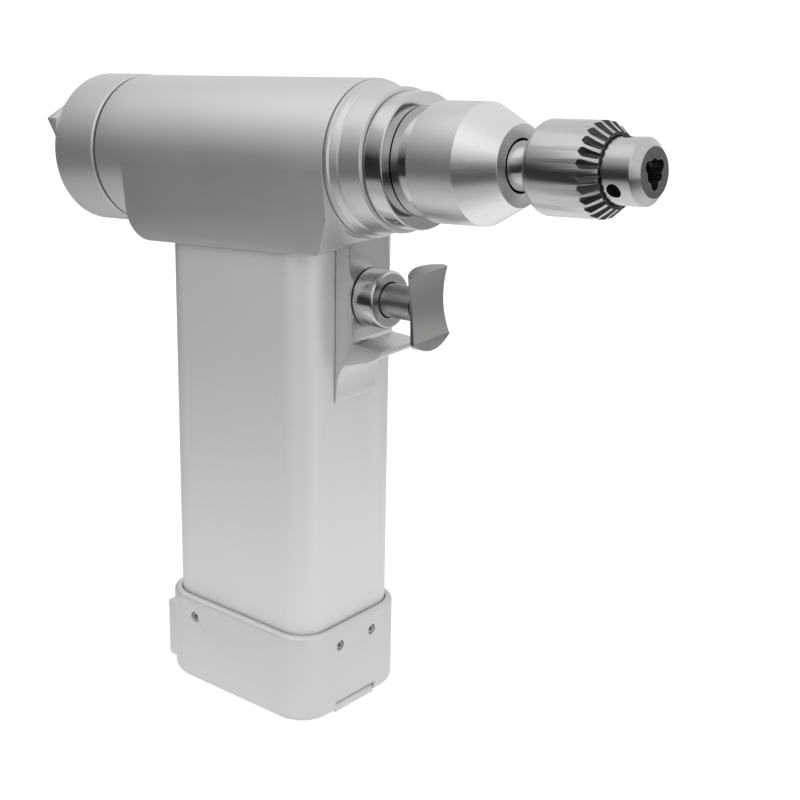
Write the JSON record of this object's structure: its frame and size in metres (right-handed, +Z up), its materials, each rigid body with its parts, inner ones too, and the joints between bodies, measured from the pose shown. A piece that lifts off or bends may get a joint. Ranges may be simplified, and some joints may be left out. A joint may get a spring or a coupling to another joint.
{
  "type": "surgical power drill",
  "caption": "Battery pistol drill of satin metal: round barrel with a key chuck and a rear selector knob, a finger trigger, and an upright handle on a clip-on battery base.",
  "frame": {"origin": "centre of the battery base's flat underside", "axes": "+X forward, the way the chuck points; +Y left; +Z up; the barrel rises 6.9 degrees forward"},
  "size_m": [0.1951, 0.0442, 0.1846],
  "materials": {
    "satin_casting": "bead-blasted satin",
    "polished_ring": "mirror polished",
    "chuck_steel": "turned and polished",
    "plain_steel": "machined",
    "trigger_steel": "satin, darker",
    "pale_aluminium": "fine matte",
    "dark_plastic": "matte",
    "seal_rubber": "matte",
    "circuit_board": "matte",
    "cell_wrap": "gloss",
    "magnet": "ground",
    "winding": "lacquered copper",
    "cage_brass": "plain"
  },
  "bodies": {
    "frame": {"main_housing": "satin_casting", "handle_tube": "pale_aluminium", "rear_plate": "plain_steel", "motor_can": "plain_steel", "motor_stator": "winding", "ring_gear": "plain_steel", "nose_flange": "satin_casting", "gearbox_ring": "polished_ring", "nose_collar": "satin_casting", "rear_bearing_outer_race": "polished_ring", "front_bearing_outer_race": "polished_ring", "rear_bearing_ball_cage": "cage_brass", "front_bearing_ball_cage": "cage_brass", "spindle_seal": "seal_rubber", "trigger_bush": "polished_ring", "trigger_spring": "plain_steel", "trigger_switch": "dark_plastic", "control_board": "circuit_board", "terminal_block": "dark_plastic"},
    "knob": {"rear_knob": "satin_casting"},
    "rotor": {"rotor_shaft": "plain_steel", "rotor_magnet": "magnet", "sun_gear": "plain_steel"},
    "spindle": {"spindle": "plain_steel", "planet_pin_1": "plain_steel", "planet_pin_2": "plain_steel", "planet_pin_3": "plain_steel", "rear_bearing_inner_race": "polished_ring", "front_bearing_inner_race": "polished_ring", "chuck_body": "chuck_steel"},
    "planet_1": {"planet_gear_1": "plain_steel"},
    "planet_2": {"planet_gear_2": "plain_steel"},
    "planet_3": {"planet_gear_3": "plain_steel"},
    "sleeve": {"chuck_sleeve": "chuck_steel", "chuck_nut_left": "plain_steel", "chuck_nut_right": "plain_steel"},
    "jaw_1": {"chuck_jaw_1": "plain_steel"},
    "jaw_2": {"chuck_jaw_2": "plain_steel"},
    "jaw_3": {"chuck_jaw_3": "plain_steel"},
    "trigger": {"trigger_stem": "trigger_steel", "trigger_pad": "trigger_steel"},
    "battery": {"battery_case": "pale_aluminium", "battery_frame": "dark_plastic", "battery_cell_1": "cell_wrap", "battery_cell_2": "cell_wrap", "battery_cell_3": "cell_wrap", "battery_cell_4": "cell_wrap", "battery_cap": "dark_plastic", "base_gasket": "seal_rubber", "base_screw_front_1": "plain_steel", "base_screw_front_2": "plain_steel", "base_screw_left": "plain_steel", "base_screw_right": "plain_steel", "front_tab": "pale_aluminium", "latch_pin": "plain_steel"},
    "latch": {"rear_latch": "pale_aluminium"}
  },
  "joints": [
    {"name": "spindle_spin", "type": "hinge", "parent": "frame", "child": "spindle", "pos_m": [-0.0295, 0, 0.1561], "axis": [0.9928, 0, 0.1201], "continuous": true},
    {"name": "rotor_spin", "type": "hinge", "parent": "frame", "child": "rotor", "pos_m": [-0.0295, 0, 0.1561], "axis": [0.9928, 0, 0.1201], "continuous": true},
    {"name": "planet_1_spin", "type": "hinge", "parent": "spindle", "child": "planet_1", "pos_m": [0.01682, 0, 0.15204], "axis": [0.9928, 0, 0.1201], "continuous": true},
    {"name": "planet_2_spin", "type": "hinge", "parent": "spindle", "child": "planet_2", "pos_m": [0.01509, 0.00831, 0.16633], "axis": [0.9928, 0, 0.1201], "continuous": true},
    {"name": "planet_3_spin", "type": "hinge", "parent": "spindle", "child": "planet_3", "pos_m": [0.01509, -0.00831, 0.16633], "axis": [0.9928, 0, 0.1201], "continuous": true},
    {"name": "chuck_sleeve_turn", "type": "hinge", "parent": "spindle", "child": "sleeve", "pos_m": [-0.0295, 0, 0.1561], "axis": [0.9928, 0, 0.1201], "range_deg": [0, 1440]},
    {"name": "jaw_1_slide", "type": "slide", "parent": "spindle", "child": "jaw_1", "axis": [0.9852, 0.1713, 0.0006], "range_m": [0, 0.008]},
    {"name": "jaw_2_slide", "type": "slide", "parent": "spindle", "child": "jaw_2", "axis": [0.9818, -0.1877, 0.0287], "range_m": [0, 0.008]},
    {"name": "jaw_3_slide", "type": "slide", "parent": "spindle", "child": "jaw_3", "axis": [0.9462, 0.0163, 0.3233], "range_m": [0, 0.008]},
    {"name": "selector_knob_turn", "type": "hinge", "parent": "frame", "child": "knob", "pos_m": [-0.0295, 0, 0.1561], "axis": [0.9928, 0, 0.1201], "range_deg": [-30, 30]},
    {"name": "trigger_press", "type": "slide", "parent": "frame", "child": "trigger", "axis": [-0.9976, 0, -0.0698], "range_m": [0, 0.007], "stiffness_N_per_m": 900, "springref_m": -0.002, "deforming": ["trigger_spring"]},
    {"name": "battery_slide", "type": "slide", "parent": "frame", "child": "battery", "axis": [0, 0, -1], "range_m": [0, 0.035]},
    {"name": "latch_swing", "type": "hinge", "parent": "battery", "child": "latch", "pos_m": [-0.0317, 0, 0.0042], "axis": [0, -1, 0], "range_deg": [0, 12], "stiffness_Nm_per_rad": 0.05}
  ],
  "couplings": [
    {"joint": "rotor_spin", "follows": "spindle_spin", "ratio": 4},
    {"joint": "planet_1_spin", "follows": "spindle_spin", "ratio": -3},
    {"joint": "planet_2_spin", "follows": "spindle_spin", "ratio": -3},
    {"joint": "planet_3_spin", "follows": "spindle_spin", "ratio": -3},
    {"joint": "jaw_1_slide", "follows": "chuck_sleeve_turn", "m_per_rad": 0.000318},
    {"joint": "jaw_2_slide", "follows": "chuck_sleeve_turn", "m_per_rad": 0.000318},
    {"joint": "jaw_3_slide", "follows": "chuck_sleeve_turn", "m_per_rad": 0.000318}
  ]
}
